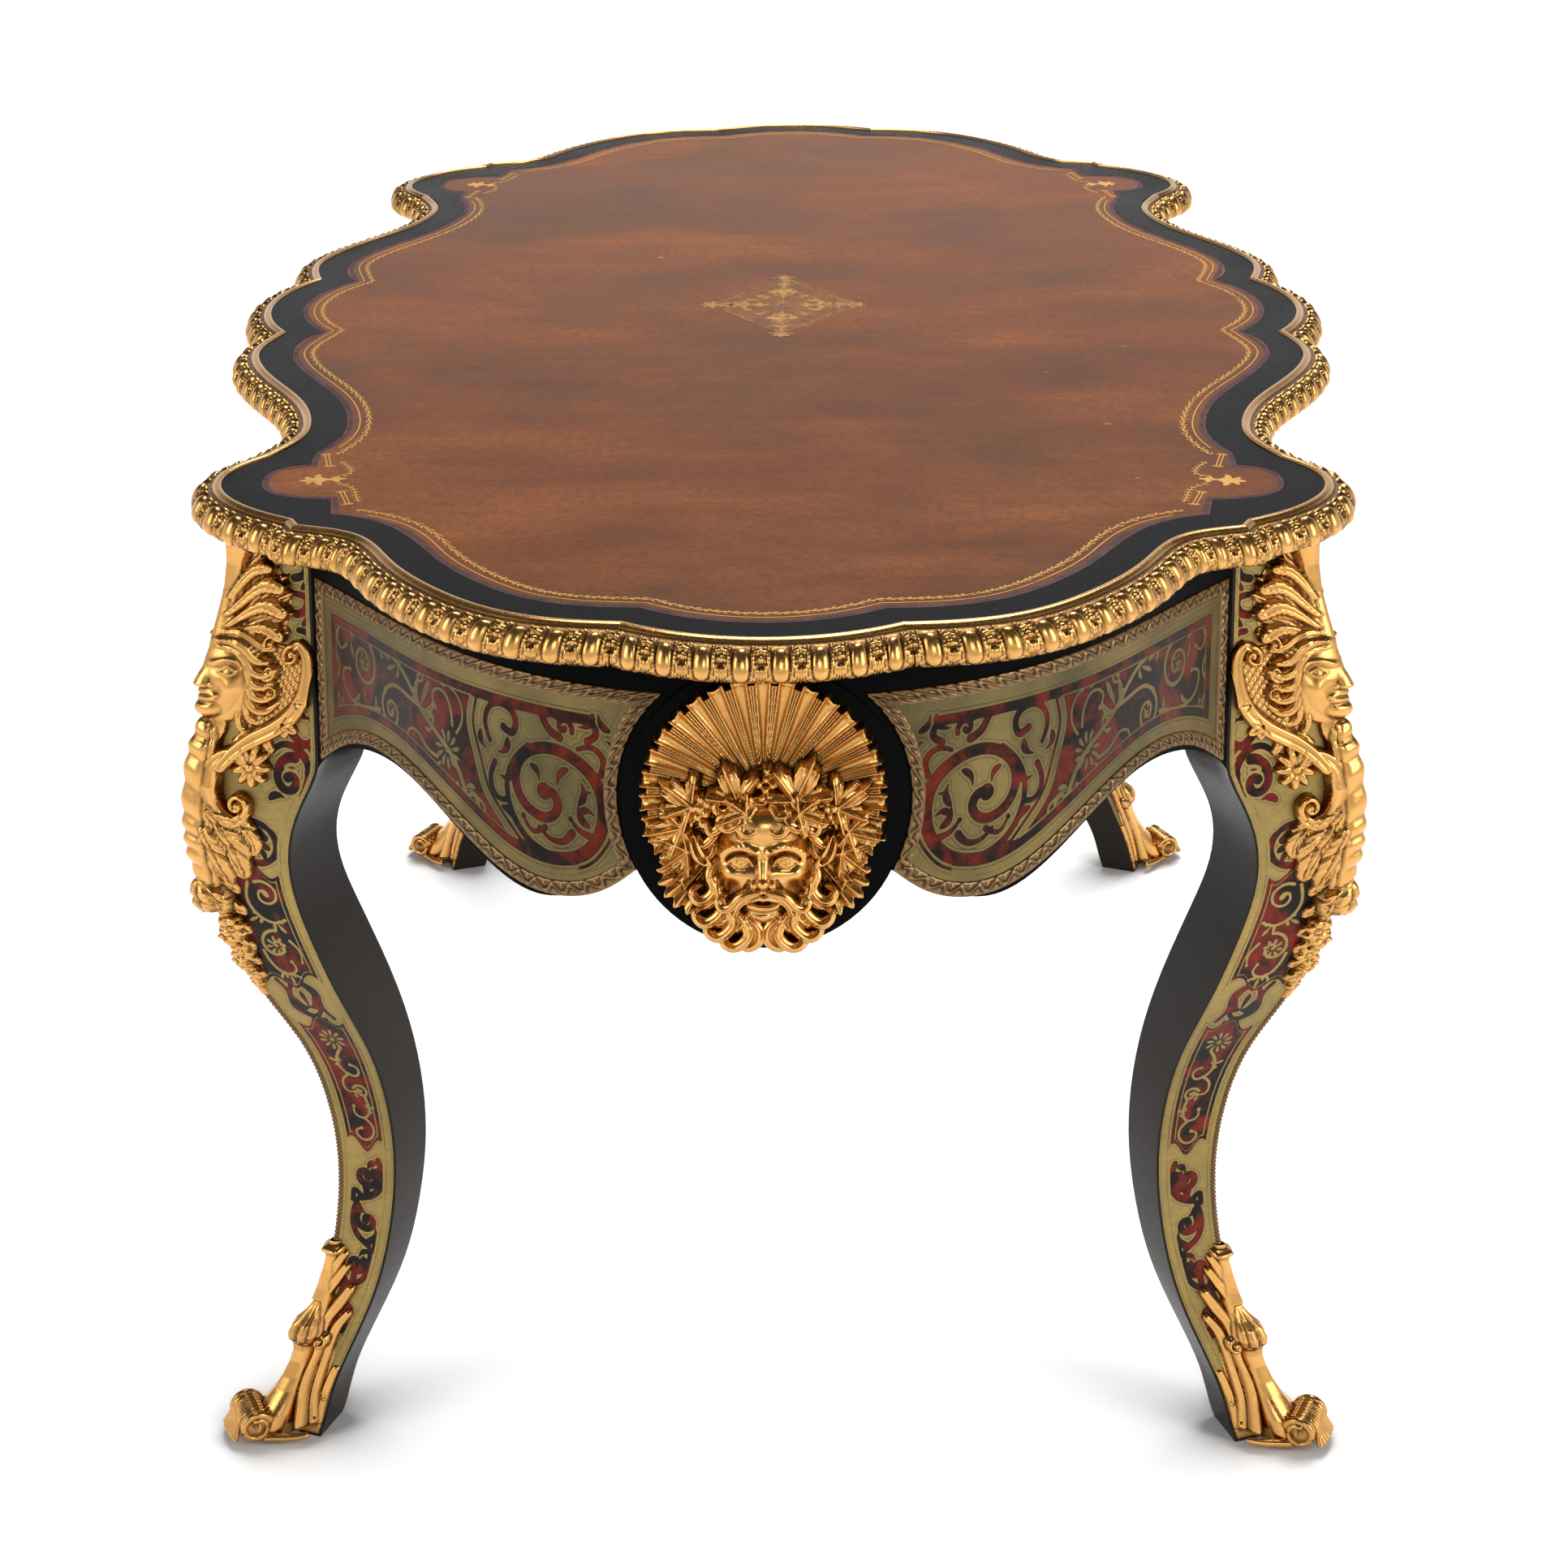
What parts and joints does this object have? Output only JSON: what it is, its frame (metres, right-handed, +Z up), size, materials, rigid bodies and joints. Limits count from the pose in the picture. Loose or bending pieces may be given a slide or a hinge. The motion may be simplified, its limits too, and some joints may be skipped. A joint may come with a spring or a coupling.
{
  "type": "bureau plat",
  "caption": "Violin-shaped writing desk on cabriole legs with brass and tortoiseshell marquetry, gilt-bronze mounts, leather top and frieze drawers.",
  "frame": {"origin": "on the floor under the middle of the top", "axes": "+X along the length, -Y towards the drawer side, +Z up"},
  "size_m": [1.6424, 0.9128, 0.773],
  "materials": {
    "ebony": "black polished veneer",
    "marquetry": "brass and tortoiseshell veneer, polished",
    "leather": "worn, gold tooled",
    "gilt_bronze": "chased and mercury gilt",
    "oak": "waxed",
    "lock_iron": "old steel"
  },
  "bodies": {
    "carcass": {"top_board": "ebony", "writing_leather": "leather", "edge_moulding_corner_front_right": "gilt_bronze", "edge_moulding_corner_front_left": "gilt_bronze", "edge_moulding_corner_back_right": "gilt_bronze", "edge_moulding_corner_back_left": "gilt_bronze", "edge_moulding_end_right": "gilt_bronze", "edge_moulding_end_left": "gilt_bronze", "edge_moulding_front": "gilt_bronze", "edge_moulding_back": "gilt_bronze", "leg_front_right": "marquetry", "corner_mount_front_right": "gilt_bronze", "sabot_front_right": "gilt_bronze", "leg_front_left": "marquetry", "corner_mount_front_left": "gilt_bronze", "sabot_front_left": "gilt_bronze", "leg_back_right": "marquetry", "corner_mount_back_right": "gilt_bronze", "sabot_back_right": "gilt_bronze", "leg_back_left": "marquetry", "corner_mount_back_left": "gilt_bronze", "sabot_back_left": "gilt_bronze", "end_apron_right": "marquetry", "end_mask_right": "gilt_bronze", "divider_right": "ebony", "bearer_inner_right": "oak", "bearer_outer_right": "oak", "end_apron_left": "marquetry", "end_mask_left": "gilt_bronze", "divider_left": "ebony", "bearer_inner_left": "oak", "bearer_outer_left": "oak", "front_top_rail": "ebony", "front_lower_rail": "ebony", "back_apron": "marquetry"},
    "drawer_left": {"drawer_left_front": "marquetry", "drawer_left_side_left": "oak", "drawer_left_side_right": "oak", "drawer_left_back": "oak", "drawer_left_bottom": "oak", "drawer_pull_left": "gilt_bronze"},
    "drawer_centre": {"drawer_centre_front": "marquetry", "drawer_centre_side_left": "oak", "drawer_centre_side_right": "oak", "drawer_centre_back": "oak", "drawer_centre_bottom": "oak", "key_plate": "gilt_bronze", "lock_case": "lock_iron"},
    "drawer_right": {"drawer_right_front": "marquetry", "drawer_right_side_left": "oak", "drawer_right_side_right": "oak", "drawer_right_back": "oak", "drawer_right_bottom": "oak", "drawer_pull_right": "gilt_bronze"},
    "lock_bolt": {"lock_bolt": "lock_iron"},
    "key": {"key": "lock_iron"}
  },
  "joints": [
    {"name": "drawer_left_slide", "type": "slide", "parent": "carcass", "child": "drawer_left", "axis": [0, -1, 0], "range_m": [0, 0.34]},
    {"name": "drawer_centre_slide", "type": "slide", "parent": "carcass", "child": "drawer_centre", "axis": [0, -1, 0], "range_m": [0, 0.34]},
    {"name": "drawer_right_slide", "type": "slide", "parent": "carcass", "child": "drawer_right", "axis": [0, -1, 0], "range_m": [0, 0.34]},
    {"name": "key_turn", "type": "hinge", "parent": "drawer_centre", "child": "key", "pos_m": [0, -0.4, 0.69], "axis": [0, -1, 0], "range_deg": [0, 90]},
    {"name": "lock_bolt_throw", "type": "slide", "parent": "drawer_centre", "child": "lock_bolt", "axis": [0, 0, 1], "range_m": [0, 0.009]}
  ],
  "couplings": [
    {"joint": "lock_bolt_throw", "follows": "key_turn", "m_per_rad": 0.0057232}
  ]
}
